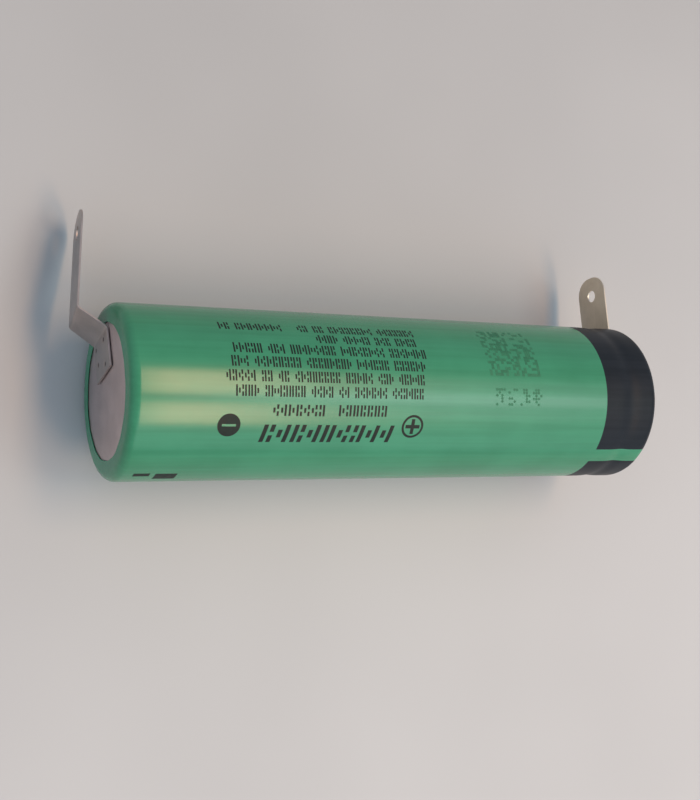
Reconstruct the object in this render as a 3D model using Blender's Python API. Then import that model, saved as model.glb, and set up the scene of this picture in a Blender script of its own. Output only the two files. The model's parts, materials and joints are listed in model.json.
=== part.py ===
"""Cylindrical lithium-ion cell of the 18650 size, with a solder tag welded to each end.

Sizes are in millimetres and become metres where a mesh is made. Every turned piece shares the
cell's axis: its outline is a list of (radius, height), and height 0 is the sleeve's negative
end. The empty cell_axis lays that axis along +X, points the tags towards +Y and rests one flat
side of the sleeve on the ground, with the origin under the middle of the whole object.
"""
import math

import bmesh
import bpy
from mathutils import Matrix, Vector

MM = 0.001
SIDES = 40
CLEARANCE = 0.05

# Sleeve
CELL_RADIUS = 9.25
CELL_LENGTH = 64.9
SLEEVE_WALL = 0.10
SLEEVE_CORNER = 1.0
NEGATIVE_MOUTH = 7.1
POSITIVE_MOUTH = 6.5

# Can, with its bead groove and crimped lip
CAN_RADIUS = CELL_RADIUS - SLEEVE_WALL - CLEARANCE
CAN_WALL = 0.25
CAN_CORNER = 0.85
CAN_BOTTOM = SLEEVE_WALL + CLEARANCE
CAN_TOP = 64.4
CAN_BORE = CAN_RADIUS - CAN_WALL
CRIMP_RADIUS = 7.0
BEAD_HEIGHT = 61.0
BEAD_HALF_WIDTH = 1.2
BEAD_DEPTH = 0.9
BEAD_STEPS = 8

# Cap stack, from the contact plate up to the terminal cap
STACK_RADIUS = 8.12
GASKET_BOTTOM = 62.3
GASKET_LIP_RADIUS = 7.15
GASKET_LIP = 0.3
DISC_BOTTOM = 62.65
DISC_THICKNESS = 0.3
COIN_GROOVE_RADIUS = 3.7
PTC_BOTTOM = 63.0
PTC_THICKNESS = 0.3
PTC_BORE = 4.3
CAP_FLANGE_BOTTOM = 63.35
CAP_SHEET = 0.35
CAP_TOP = 65.15
CAP_BOSS_RADIUS = 4.3
VENT_COUNT = 4
VENT_WIDTH = 2.2
VENT_HEIGHT = 0.6
CONTACT_RADIUS = 6.9
CONTACT_BOTTOM = 61.70
CONTACT_THICKNESS = 0.35
CONTACT_HOLES = 6
CONTACT_HOLE_RADIUS = 0.6
CONTACT_HOLE_CIRCLE = 3.0

# Wound roll
ROLL_BOTTOM = 0.95
ROLL_TOP = 59.5
ROLL_CORE = 2.3
TURNS = 11.0
STEPS_PER_TURN = 16
FILM = 0.04
ANODE_FOIL = 0.20
CATHODE_FOIL = 0.18
WINDING_GAP = 0.01
PITCH = 2 * FILM + ANODE_FOIL + CATHODE_FOIL + 4 * WINDING_GAP
ANODE_INSET = 0.45
CATHODE_INSET = 0.95
ROLL_TAPE_RADIUS = 8.38

# Leads inside the cell
LEAD_THICKNESS = 0.10
NEGATIVE_LEAD_WIDTH = 3.0
NEGATIVE_LEAD_SIDE = 8.57
POSITIVE_LEAD_WIDTH = 2.2
POSITIVE_LEAD_SIDE = 1.67
LEAD_BEND = 0.4

# Solder tags outside the cell
TAG_WIDTH = 5.2
TAG_THICKNESS = 0.20
TAG_TIP_ROUND = 2.2
TAG_HOLE_RADIUS = 0.75
TAG_HOLE_INSET = 2.4
TAG_BEND = 0.5
NEGATIVE_TAG_TILT = math.radians(-17.5)
TAG_PAD_START = (1.75, -0.25)
TAG_PAD_LENGTH = 4.3
TAG_STEP_OUT = 2.7
TAG_STEP_ALONG = 2.1
TAG_UPRIGHT_LEAN = math.radians(7)
TAG_UPRIGHT_TURN = math.radians(4.3)
TAG_UPRIGHT_LENGTH = 12.4
POSITIVE_TAG_TILT = math.radians(-7)
POSITIVE_TAG_CENTRE = (0.0, -1.5)
POSITIVE_TAG_BACK = 3.4
POSITIVE_TAG_REACH = 16.5


def remove_everything():
    for old in list(bpy.data.objects):
        bpy.data.objects.remove(old, do_unlink=True)


def material(name, colour, roughness, metallic=0.0):
    finish = bpy.data.materials.new(name)
    finish.use_nodes = True
    shader = finish.node_tree.nodes["Principled BSDF"]
    shader.inputs["Base Color"].default_value = (*colour, 1.0)
    shader.inputs["Roughness"].default_value = roughness
    shader.inputs["Metallic"].default_value = metallic
    return finish


def add_object(name, bm, finish=None):
    """Make a closed mesh, given in millimetres, into an object on the cell's axis."""
    bmesh.ops.scale(bm, vec=(MM, MM, MM), verts=bm.verts)
    bmesh.ops.recalc_face_normals(bm, faces=bm.faces)
    mesh = bpy.data.meshes.new(name)
    bm.to_mesh(mesh)
    bm.free()
    mesh.shade_smooth()
    mesh.set_sharp_from_angle(angle=math.radians(30))
    piece = bpy.data.objects.new(name, mesh)
    bpy.context.collection.objects.link(piece)
    piece.parent = bpy.data.objects["cell_axis"]
    if finish:
        mesh.materials.append(finish)
    return piece


def cut(piece, cutter):
    """Subtract a cutter that stays in the file as a wire guide."""
    cutter.hide_render = True
    cutter.display_type = "WIRE"
    boolean = piece.modifiers.new(cutter.name, "BOOLEAN")
    boolean.operation = "DIFFERENCE"
    boolean.solver = "EXACT"
    boolean.object = cutter


# Outlines

def arc(centre, radius, start, end, steps=3):
    """Points of an arc about a (radius, height) centre, from start to end degrees."""
    points = []
    for step in range(steps + 1):
        angle = math.radians(start + (end - start) * step / steps)
        points.append((centre[0] + radius * math.cos(angle), centre[1] + radius * math.sin(angle)))
    return points


def offset(path, distance):
    """The same open outline moved sideways, to the left of its direction, with mitred corners."""
    points = [Vector(point) for point in path]
    normals = []
    for here, there in zip(points, points[1:]):
        along = (there - here).normalized()
        normals.append(Vector((-along.y, along.x)))
    moved = []
    for index, point in enumerate(points):
        before = normals[max(index - 1, 0)]
        after = normals[min(index, len(normals) - 1)]
        mitre = (before + after).normalized()
        moved.append(tuple(point + mitre * distance / mitre.dot(after)))
    return moved


def turned(name, outline, finish, capped=False):
    """Turn an outline about the axis: a closed ring, or with flat ends if it is capped."""
    bm = bmesh.new()
    rings = []
    for radius, height in outline:
        ring = []
        for side in range(SIDES):
            angle = 2 * math.pi * (side + 0.5) / SIDES
            ring.append(bm.verts.new((radius * math.cos(angle), radius * math.sin(angle), height)))
        rings.append(ring)
    pairs = list(zip(rings, rings[1:]))
    if capped:
        bm.faces.new(rings[0])
        bm.faces.new(rings[-1])
    else:
        pairs.append((rings[-1], rings[0]))
    for lower, upper in pairs:
        for side in range(SIDES):
            after = (side + 1) % SIDES
            bm.faces.new((lower[side], lower[after], upper[after], upper[side]))
    return add_object(name, bm, finish)


def washer(name, bore, radius, bottom, thickness, finish):
    top = bottom + thickness
    outline = [(bore, bottom), (radius, bottom), (radius, top), (bore, top)]
    return turned(name, outline, finish)


def extruded(name, outline, bottom, top, finish=None):
    """Extrude a closed (x, y) outline along the cell's axis."""
    bm = bmesh.new()
    floor = [bm.verts.new((x, y, bottom)) for x, y in outline]
    face = bm.faces.new(floor)
    walls = bmesh.ops.extrude_face_region(bm, geom=[face])
    lifted = [item for item in walls["geom"] if isinstance(item, bmesh.types.BMVert)]
    bmesh.ops.translate(bm, vec=(0, 0, top - bottom), verts=lifted)
    return add_object(name, bm, finish)


# Shell

def sleeve_outline():
    side = CELL_RADIUS - SLEEVE_CORNER
    path = [(NEGATIVE_MOUTH, 0.0)]
    path += arc((side, SLEEVE_CORNER), SLEEVE_CORNER, -90, 0, 4)
    path += arc((side, CELL_LENGTH - SLEEVE_CORNER), SLEEVE_CORNER, 0, 90, 4)
    path += [(POSITIVE_MOUTH, CELL_LENGTH)]
    return path


def bead_path():
    """The groove rolled into the can: one period of a cosine."""
    points = []
    for step in range(BEAD_STEPS + 1):
        share = step / BEAD_STEPS
        depth = BEAD_DEPTH * (1 - math.cos(2 * math.pi * share)) / 2
        points.append((CAN_RADIUS - depth, BEAD_HEIGHT + BEAD_HALF_WIDTH * (2 * share - 1)))
    return points


def can_outline():
    side = CAN_RADIUS - CAN_CORNER
    path = [(side / 2, CAN_BOTTOM)]
    path += arc((side, CAN_BOTTOM + CAN_CORNER), CAN_CORNER, -90, 0)
    path += bead_path()
    path += arc((side, CAN_TOP - CAN_CORNER), CAN_CORNER, 0, 90)
    path += [(CRIMP_RADIUS, CAN_TOP)]
    return path


def build_shell():
    green = material("sleeve_green", (0.10, 0.32, 0.19), 0.35)
    steel = material("nickel_plated_steel", (0.27, 0.25, 0.25), 0.4, 1.0)
    paper = material("ring_paper", (0.75, 0.74, 0.70), 0.8)
    outer = sleeve_outline()
    turned("sleeve", outer + offset(outer, SLEEVE_WALL)[::-1], green)
    outer = can_outline()
    turned("can", outer + offset(outer, CAN_WALL)[::-1], steel, capped=True)
    bottom = CAN_TOP + CLEARANCE
    thickness = CELL_LENGTH - SLEEVE_WALL - CLEARANCE - bottom
    washer("insulator_ring", 5.2, 8.2, bottom, thickness, paper)


# Cap stack

def gasket_outline():
    side = CAN_RADIUS - CAN_CORNER
    lip_top = CAN_TOP - CAN_WALL - CLEARANCE
    stack_bottom = DISC_BOTTOM - CLEARANCE
    stack_top = CAP_FLANGE_BOTTOM + CAP_SHEET + CLEARANCE
    inner = STACK_RADIUS + CLEARANCE
    outline = [(GASKET_LIP_RADIUS, GASKET_BOTTOM), (CAN_BORE - CLEARANCE, GASKET_BOTTOM)]
    corner = CAN_CORNER - CAN_WALL - CLEARANCE
    outline += arc((side, CAN_TOP - CAN_CORNER), corner, 0, 90)
    outline += [(GASKET_LIP_RADIUS, lip_top), (GASKET_LIP_RADIUS, stack_top), (inner, stack_top)]
    outline += [(inner, stack_bottom), (GASKET_LIP_RADIUS, stack_bottom)]
    return outline


def cap_outline():
    """A hat: from the underside of its crown, out along the flange and back over the top."""
    flange_top = CAP_FLANGE_BOTTOM + CAP_SHEET
    crown = CAP_TOP - CAP_SHEET
    boss = CAP_BOSS_RADIUS
    inner = [(boss - 0.8, crown), (boss - 0.5, crown - 0.1), (boss - 0.35, flange_top + 0.15)]
    inner += [(boss + 0.2, CAP_FLANGE_BOTTOM), (STACK_RADIUS, CAP_FLANGE_BOTTOM)]
    outer = [(STACK_RADIUS, flange_top), (boss + 0.4, flange_top), (boss, flange_top + 0.3)]
    outer += [(boss - 0.15, CAP_TOP - 0.25), (boss - 0.4, CAP_TOP)]
    return inner + outer


def vent_cutter():
    """Four blocks that cut the gas windows through the wall of the cap's boss."""
    bm = bmesh.new()
    height = (CAP_FLANGE_BOTTOM + CAP_SHEET + CAP_TOP) / 2
    size = Matrix.Diagonal((2.0, VENT_WIDTH, VENT_HEIGHT, 1.0))
    place = Matrix.Translation((CAP_BOSS_RADIUS - 0.2, 0.0, height))
    for vent in range(VENT_COUNT):
        turn = Matrix.Rotation(2 * math.pi * (vent + 0.5) / VENT_COUNT, 4, "Z")
        bmesh.ops.create_cube(bm, size=1.0, matrix=turn @ place @ size)
    return add_object("vent_cutter", bm)


def contact_cutter():
    bm = bmesh.new()
    height = CONTACT_BOTTOM + CONTACT_THICKNESS / 2
    for hole in range(CONTACT_HOLES):
        angle = 2 * math.pi * hole / CONTACT_HOLES
        x = CONTACT_HOLE_CIRCLE * math.cos(angle)
        y = CONTACT_HOLE_CIRCLE * math.sin(angle)
        bmesh.ops.create_cone(
            bm, cap_ends=True, segments=12, radius1=CONTACT_HOLE_RADIUS, radius2=CONTACT_HOLE_RADIUS,
            depth=1.0, matrix=Matrix.Translation((x, y, height)))
    return add_object("contact_cutter", bm)


def dome_outline():
    """The disc's centre: a shallow dish whose flat middle touches down on the contact plate."""
    rim = COIN_GROOVE_RADIUS - CLEARANCE
    low = CONTACT_BOTTOM + CONTACT_THICKNESS + CLEARANCE
    high = DISC_BOTTOM + 0.03
    sheet = DISC_THICKNESS - 0.08
    lower = [(1.50, low), (3.10, high), (rim, high)]
    upper = [(rim, high + sheet), (3.05, high + sheet), (1.45, low + sheet)]
    return lower + upper


def build_cap_stack():
    plastic = material("gasket_plastic", (0.08, 0.08, 0.09), 0.5)
    nickel = material("cap_nickel", (0.55, 0.53, 0.50), 0.3, 1.0)
    polymer = material("ptc_polymer", (0.05, 0.05, 0.05), 0.6)
    aluminium = material("disc_aluminium", (0.70, 0.70, 0.72), 0.35, 1.0)
    clear = material("cid_plastic", (0.80, 0.80, 0.76), 0.5)
    turned("gasket", gasket_outline(), plastic)
    cap = turned("top_cap", cap_outline(), nickel, capped=True)
    cut(cap, vent_cutter())
    washer("ptc_ring", PTC_BORE, STACK_RADIUS, PTC_BOTTOM, PTC_THICKNESS, polymer)
    washer("pressure_disc", COIN_GROOVE_RADIUS, STACK_RADIUS, DISC_BOTTOM, DISC_THICKNESS, aluminium)
    turned("pressure_dome", dome_outline(), aluminium, capped=True)
    contact_top = CONTACT_BOTTOM + CONTACT_THICKNESS
    ring_bottom = contact_top + CLEARANCE
    ring_thickness = DISC_BOTTOM - CLEARANCE - ring_bottom
    washer("cid_insulator", PTC_BORE, CONTACT_RADIUS + 0.1, ring_bottom, ring_thickness, clear)
    outline = [(CONTACT_RADIUS, CONTACT_BOTTOM), (CONTACT_RADIUS, contact_top)]
    plate = turned("cid_plate", outline, aluminium, capped=True)
    cut(plate, contact_cutter())


# Wound roll

def wound(name, inset, thickness, ends, turns, finish):
    """A strip wound in a spiral, as far out from the core as the layers under it."""
    bm = bmesh.new()
    bottom, top = ends
    steps = round(turns * STEPS_PER_TURN)
    rings = []
    for step in range(steps + 1):
        angle = 2 * math.pi * step / STEPS_PER_TURN
        inner = ROLL_CORE + inset + PITCH * step / STEPS_PER_TURN
        ring = []
        for radius, height in ((inner, bottom), (inner + thickness, bottom),
                               (inner + thickness, top), (inner, top)):
            ring.append(bm.verts.new((radius * math.cos(angle), radius * math.sin(angle), height)))
        rings.append(ring)
    bm.faces.new(rings[0])
    bm.faces.new(rings[-1])
    for here, there in zip(rings, rings[1:]):
        for corner in range(4):
            after = (corner + 1) % 4
            bm.faces.new((here[corner], here[after], there[after], there[corner]))
    return add_object(name, bm, finish)


def build_roll():
    film = material("separator_film", (0.85, 0.85, 0.83), 0.4)
    graphite = material("anode_coating", (0.03, 0.03, 0.035), 0.6)
    oxide = material("cathode_coating", (0.05, 0.05, 0.05), 0.7)
    amber = material("polyimide_tape", (0.70, 0.33, 0.05), 0.3)
    steel = material("pin_steel", (0.45, 0.45, 0.46), 0.35, 1.0)
    fibre = material("fibre_board", (0.62, 0.60, 0.52), 0.8)
    films = (ROLL_BOTTOM, ROLL_TOP)
    anode_ends = (ROLL_BOTTOM + ANODE_INSET, ROLL_TOP - ANODE_INSET)
    cathode_ends = (ROLL_BOTTOM + CATHODE_INSET, ROLL_TOP - CATHODE_INSET)
    anode_inset = FILM + WINDING_GAP
    outer_inset = anode_inset + ANODE_FOIL + WINDING_GAP
    cathode_inset = outer_inset + FILM + WINDING_GAP
    wound("separator_inner", 0.0, FILM, films, TURNS + 0.25, film)
    wound("anode", anode_inset, ANODE_FOIL, anode_ends, TURNS, graphite)
    wound("separator_outer", outer_inset, FILM, films, TURNS + 0.25, film)
    wound("cathode", cathode_inset, CATHODE_FOIL, cathode_ends, TURNS - 0.25, oxide)
    washer("roll_tape", ROLL_TAPE_RADIUS, ROLL_TAPE_RADIUS + 0.05, 8.0, 44.0, amber)
    washer("top_insulator", 2.75, 8.5, ROLL_TOP + 0.1, 0.2, fibre)
    washer("bottom_insulator", 1.5, 8.0, 0.62, 0.2, fibre)
    slit = 25
    pin = arc((0.0, 0.0), 1.25, slit, 360 - slit, 12)
    pin += arc((0.0, 0.0), 1.0, 360 - slit, slit, 12)
    extruded("centre_pin", pin, ROLL_BOTTOM + 0.25, ROLL_TOP - 0.2, steel)


# Strips: leads and solder tags

def rounded_route(corners, radius, steps=3):
    """A centre line through the corners, with each bend rounded."""
    points = [Vector(corner) for corner in corners]
    route = [points[0]]
    for before, corner, after in zip(points, points[1:], points[2:]):
        arriving = (corner - before).normalized()
        leaving = (after - corner).normalized()
        cutback = radius * math.tan(arriving.angle(leaving) / 2)
        start = corner - arriving * cutback
        end = corner + leaving * cutback
        for step in range(steps + 1):
            share = step / steps
            first = start.lerp(corner, share)
            second = corner.lerp(end, share)
            route.append(first.lerp(second, share))
    route.append(points[-1])
    return route


def strip(name, route, across, widths, thickness, finish):
    """A bent strip: one row across it at each point of its route."""
    bm = bmesh.new()
    rows = []
    for index, point in enumerate(route):
        ahead = route[min(index + 1, len(route) - 1)]
        behind = route[max(index - 1, 0)]
        normal = (ahead - behind).cross(across[index]).normalized() * thickness / 2
        half = across[index] * widths[index] / 2
        row = [point - half - normal, point + half - normal, point + half + normal, point - half + normal]
        rows.append([bm.verts.new(corner) for corner in row])
    bm.faces.new(rows[0])
    bm.faces.new(rows[-1])
    for here, there in zip(rows, rows[1:]):
        for corner in range(4):
            after = (corner + 1) % 4
            bm.faces.new((here[corner], here[after], there[after], there[corner]))
    return add_object(name, bm, finish)


def lead(name, corners, width, finish):
    """A lead strip of one width that only bends about the y direction."""
    route = rounded_route(corners, LEAD_BEND)
    across = [Vector((0, 1, 0))] * len(route)
    return strip(name, route, across, [width] * len(route), LEAD_THICKNESS, finish)


def build_leads():
    nickel = material("lead_nickel", (0.50, 0.48, 0.45), 0.35, 1.0)
    aluminium = material("lead_aluminium", (0.72, 0.72, 0.74), 0.35, 1.0)
    amber = material("lead_tape", (0.70, 0.33, 0.05), 0.3)
    foot = CAN_BOTTOM + CAN_WALL + CLEARANCE + LEAD_THICKNESS / 2
    side = NEGATIVE_LEAD_SIDE
    lead("negative_lead", [(side, 0, 54), (side, 0, foot), (-1.5, 0, foot)], NEGATIVE_LEAD_WIDTH, nickel)
    head = CONTACT_BOTTOM - CLEARANCE - LEAD_THICKNESS / 2
    side = POSITIVE_LEAD_SIDE
    lead("positive_lead", [(side, 0, 45), (side, 0, head), (-1.8, 0, head)], POSITIVE_LEAD_WIDTH, aluminium)
    wrap = extruded("positive_lead_tape", box_outline(side, 0.28, 2.38), 50, 59, amber)
    cut(wrap, extruded("lead_tape_cutter", box_outline(side, 0.16, 2.26), 49, 60))


def box_outline(centre, depth, width):
    x, y = depth / 2, width / 2
    return [(centre - x, -y), (centre + x, -y), (centre + x, y), (centre - x, y)]


def tip_rows(foot, tip):
    """Points and widths of the last stretch of a tag, whose tip has rounded corners."""
    along = (tip - foot).normalized()
    points = [tip - along * (TAG_HOLE_INSET + 2.0), tip - along * TAG_TIP_ROUND]
    widths = [TAG_WIDTH, TAG_WIDTH]
    for degrees in (30, 50, 70, 90):
        angle = math.radians(degrees)
        points.append(tip - along * TAG_TIP_ROUND * (1 - math.sin(angle)))
        widths.append(TAG_WIDTH - 2 * TAG_TIP_ROUND * (1 - math.cos(angle)))
    return points, widths


def hole_cutter(name, centre, normal):
    bm = bmesh.new()
    turn = Vector((0, 0, 1)).rotation_difference(normal).to_matrix().to_4x4()
    bmesh.ops.create_cone(
        bm, cap_ends=True, segments=16, radius1=TAG_HOLE_RADIUS, radius2=TAG_HOLE_RADIUS,
        depth=1.0, matrix=Matrix.Translation(centre) @ turn)
    return add_object(name, bm)


def build_negative_tag(finish):
    """Pad welded flat on the can bottom, a step that twists a little, then a leaning upright."""
    along = Vector((math.cos(NEGATIVE_TAG_TILT), math.sin(NEGATIVE_TAG_TILT), 0))
    across = Vector((-math.sin(NEGATIVE_TAG_TILT), math.cos(NEGATIVE_TAG_TILT), 0))
    outward = Vector((0, 0, -1))
    pad_start = Vector((*TAG_PAD_START, CAN_BOTTOM - CLEARANCE - TAG_THICKNESS / 2))
    pad_end = pad_start + along * TAG_PAD_LENGTH
    foot = pad_end + along * TAG_STEP_ALONG + outward * TAG_STEP_OUT
    upright = along * math.cos(TAG_UPRIGHT_LEAN) - outward * math.sin(TAG_UPRIGHT_LEAN)
    tip = foot + upright * TAG_UPRIGHT_LENGTH
    turned_across = Matrix.Rotation(-TAG_UPRIGHT_TURN, 3, upright) @ across
    first_bend = rounded_route([pad_start, pad_end, foot], TAG_BEND)[:-1]
    second_bend = rounded_route([pad_end, foot, tip], TAG_BEND)[1:-1]
    points, tip_widths = tip_rows(foot, tip)
    route = first_bend + second_bend + points
    directions = [across] * len(first_bend) + [turned_across] * len(second_bend + points)
    widths = [TAG_WIDTH] * len(first_bend + second_bend) + tip_widths
    tag = strip("negative_tag", route, directions, widths, TAG_THICKNESS, finish)
    normal = upright.cross(turned_across)
    cut(tag, hole_cutter("negative_hole_cutter", tip - upright * TAG_HOLE_INSET, normal))


def build_positive_tag(finish):
    """A straight strip, welded flat on the cap, that stands out past the cell's side."""
    level = CAP_TOP + CLEARANCE + TAG_THICKNESS / 2
    along = Vector((math.cos(POSITIVE_TAG_TILT), math.sin(POSITIVE_TAG_TILT), 0))
    across = Vector((-math.sin(POSITIVE_TAG_TILT), math.cos(POSITIVE_TAG_TILT), 0))
    centre = Vector((*POSITIVE_TAG_CENTRE, level))
    tip = centre + along * POSITIVE_TAG_REACH
    points, tip_widths = tip_rows(centre, tip)
    route = [centre - along * POSITIVE_TAG_BACK] + points
    widths = [TAG_WIDTH] + tip_widths
    tag = strip("positive_tag", route, [across] * len(route), widths, TAG_THICKNESS, finish)
    cut(tag, hole_cutter("positive_hole_cutter", tip - along * TAG_HOLE_INSET, Vector((0, 0, 1))))


def lay_down():
    """Lay the cell on its side and move its empty so that the origin is at the box's base centre."""
    axis = bpy.data.objects["cell_axis"]
    axis.rotation_euler = (math.pi / 2, 0, math.pi / 2)
    bpy.context.view_layer.update()
    corners = []
    for piece in axis.children:
        if not piece.hide_render:
            corners += [piece.matrix_world @ vertex.co for vertex in piece.data.vertices]
    low = Vector([min(corner[i] for corner in corners) for i in range(3)])
    high = Vector([max(corner[i] for corner in corners) for i in range(3)])
    axis.location = (-(low.x + high.x) / 2, -(low.y + high.y) / 2, -low.z)


def main():
    remove_everything()
    bpy.context.collection.objects.link(bpy.data.objects.new("cell_axis", None))
    build_shell()
    build_cap_stack()
    build_roll()
    build_leads()
    tag_nickel = material("tag_nickel", (0.30, 0.28, 0.26), 0.35, 1.0)
    build_negative_tag(tag_nickel)
    build_positive_tag(tag_nickel)
    lay_down()


main()
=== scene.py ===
# %% [markdown]
# # A battery cell with solder tags
#
# The object is a cylindrical lithium-ion cell, 18.5 mm across and 65 mm long, lying on its side.
# A shrink film covers a deep-drawn steel can, and a nickel tag is welded to each end so that the
# cell can be soldered into a device. This lesson takes the finished mechanical model as a fixed
# frame and builds the visible surfaces around it: film, print, bare metal, tags and cap.

# %% Load the frame
import json
import math
import random

import bmesh
import bpy
from mathutils import Matrix, Vector


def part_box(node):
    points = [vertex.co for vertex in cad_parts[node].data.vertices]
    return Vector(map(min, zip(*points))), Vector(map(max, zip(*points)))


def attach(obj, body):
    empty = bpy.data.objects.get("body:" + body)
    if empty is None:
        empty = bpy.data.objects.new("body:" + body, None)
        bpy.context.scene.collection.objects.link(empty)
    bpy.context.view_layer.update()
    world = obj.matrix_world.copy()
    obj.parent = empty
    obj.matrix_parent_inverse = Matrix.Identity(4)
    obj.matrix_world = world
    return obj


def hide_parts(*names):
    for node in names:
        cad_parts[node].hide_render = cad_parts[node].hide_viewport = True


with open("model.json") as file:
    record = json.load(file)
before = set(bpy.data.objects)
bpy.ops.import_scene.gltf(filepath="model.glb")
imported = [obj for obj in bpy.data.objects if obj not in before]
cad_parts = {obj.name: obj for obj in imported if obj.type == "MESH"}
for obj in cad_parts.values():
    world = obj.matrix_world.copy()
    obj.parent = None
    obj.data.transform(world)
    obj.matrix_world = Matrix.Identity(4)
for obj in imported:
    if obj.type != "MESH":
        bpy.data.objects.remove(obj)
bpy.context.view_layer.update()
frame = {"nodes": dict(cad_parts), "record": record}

# %% [markdown]
# Every visible piece is made in the cell's own coordinates, because a battery is drawn that way:
# millimetres along the axis from the negative end, and a radius and an angle about the axis. The
# sleeve's box says where that axis lies in the frame. Angles start at +Y, where the tags point,
# and grow towards +Z, straight up.

# %% The cell's own coordinates
MM = 0.001
sleeve_low, sleeve_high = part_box("sleeve")
RADIUS = (sleeve_high.z - sleeve_low.z) / 2 / MM
LENGTH = (sleeve_high.x - sleeve_low.x) / MM
END = Vector((sleeve_low.x, (sleeve_low.y + sleeve_high.y) / 2, (sleeve_low.z + sleeve_high.z) / 2))


def around(x, radius, degrees):
    """A point at a distance along the axis, a radius and an angle, in millimetres."""
    angle = math.radians(degrees)
    return Vector((x, radius * math.cos(angle), radius * math.sin(angle)))


print(f"radius {RADIUS:.2f} mm, length {LENGTH:.1f} mm")

# %% [markdown]
# ## Writing finishes as sums
#
# A procedural finish is a small calculation for each point of the surface. Built by hand it is
# a web of nodes, which is hard to read in a script. So an output socket is wrapped in a class
# with the operators + - *, and each operator adds the Math node that does the same.

# %% A socket that can be added and multiplied
class Wire:
    """An output socket that can be added, subtracted and multiplied."""

    def __init__(self, finish, socket):
        self.finish = finish
        self.socket = socket

    def maths(self, operation, first, second):
        return self.finish.node("ShaderNodeMath", {"operation": operation}, {0: first, 1: second})

    def __add__(self, other):
        return self.maths("ADD", self, other)

    def __sub__(self, other):
        return self.maths("SUBTRACT", self, other)

    def __rsub__(self, other):
        return self.maths("SUBTRACT", other, self)

    def __mul__(self, other):
        return self.maths("MULTIPLY", self, other)

    __radd__ = __add__
    __rmul__ = __mul__


print("a wire knows:", [name for name in vars(Wire) if name.strip("_") in ("add", "sub", "mul")])

# %% [markdown]
# A finish holds one material. One method adds any kind of node: its settings are made first,
# then the values or wires of its sockets. The others are short names for what every finish here
# needs: a place in millimetres, noise, a soft step, a mix of two colours, a spot and a bump.

# %% A material made of wires
SPOT_CORE = 0.4


class Finish:
    """A material whose Principled shader is fed by wires and plain values."""

    def __init__(self, name):
        self.material = bpy.data.materials.new(name)
        self.material.use_nodes = True
        self.tree = self.material.node_tree
        self.shader = self.tree.nodes["Principled BSDF"]

    def node(self, kind, settings=None, values=None, output=0):
        made = self.tree.nodes.new(kind)
        for name, value in (settings or {}).items():
            setattr(made, name, value)
        for name, value in (values or {}).items():
            self.feed(made.inputs[name], value)
        return Wire(self, made.outputs[output])

    def feed(self, socket, value):
        if isinstance(value, Wire):
            self.tree.links.new(value.socket, socket)
        else:
            socket.default_value = value

    def shade(self, values):
        for name, value in values.items():
            self.feed(self.shader.inputs[name], value)
        return self.material

    def position(self, along=1.0, across=1.0, up=1.0):
        """The place on the piece in millimetres, squeezed or stretched along each axis."""
        place = self.node("ShaderNodeTexCoord", output="Object")
        scale = (along / MM, across / MM, up / MM)
        settings = {"operation": "MULTIPLY"}
        return self.node("ShaderNodeVectorMath", settings, {0: place, 1: scale})

    def noise(self, place, per_mm, detail=3.0, roughness=0.55):
        values = {"Vector": place, "Scale": per_mm, "Detail": detail, "Roughness": roughness}
        return self.node("ShaderNodeTexNoise", None, values, "Fac")

    def between(self, value, low, high):
        """0 at low and below, 1 at high and above, with soft ends."""
        settings = {"interpolation_type": "SMOOTHSTEP"}
        return self.node("ShaderNodeMapRange", settings, {0: value, 1: low, 2: high})

    def mix(self, factor, first, second):
        """A colour between two colours, each a wire or a plain (red, green, blue)."""
        first, second = (c if isinstance(c, Wire) else (*c, 1) for c in (first, second))
        return self.node("ShaderNodeMix", {"data_type": "RGBA"}, {0: factor, 6: first, 7: second}, 2)

    def spot(self, place, radius):
        """1 at a place on the cell, in cell millimetres, fading to 0 at a radius from it."""
        here = self.node("ShaderNodeTexCoord", output="Object")
        values = {0: here, 1: END + place * MM}
        distance = self.node("ShaderNodeVectorMath", {"operation": "DISTANCE"}, values, "Value")
        return 1 - self.between(distance, SPOT_CORE * radius * MM, radius * MM)

    def bump(self, height, depth_mm):
        values = {"Strength": 1.0, "Distance": depth_mm * MM, "Height": height}
        return self.node("ShaderNodeBump", None, values)


print("a finish knows:", [name for name in vars(Finish) if not name.startswith("_")])

# %% [markdown]
# ## Making a piece
#
# A piece is a list of points in cell millimetres with its faces. It rides on a body of the
# frame, stands for the plain solid that it improves, and carries its finishes.
# Faces that meet at less than the smooth angle are shaded as one surface.

# %% Turn points and faces into a riding piece
SMOOTH_ANGLE = math.radians(40)


def add_piece(name, points, faces, finishes, stands_for=(), body="cell"):
    mesh = bpy.data.meshes.new(name)
    mesh.from_pydata([END + Vector(point) * MM for point in points], [], faces)
    bm = bmesh.new()
    bm.from_mesh(mesh)
    bmesh.ops.recalc_face_normals(bm, faces=bm.faces)
    bm.to_mesh(mesh)
    bm.free()
    mesh.shade_smooth()
    mesh.set_sharp_from_angle(angle=SMOOTH_ANGLE)
    for finish in finishes:
        mesh.materials.append(finish)
    piece = bpy.data.objects.new(name, mesh)
    bpy.context.collection.objects.link(piece)
    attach(piece, body)
    if stands_for:
        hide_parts(*stands_for)
    print(f"{name}: {len(mesh.polygons)} faces")
    return piece


print("pieces go on the body cell unless they say otherwise")

# %% [markdown]
# Most of a cell is turned: the can is drawn on a round die, and the film shrinks onto it. The
# outline of such a piece is a few corners in (along, radius), each with the radius of its
# rounding. A Bevel modifier could round them too, but a computed arc meets both sides exactly.

# %% Rounded outlines
ARC_STEPS = 8


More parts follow.
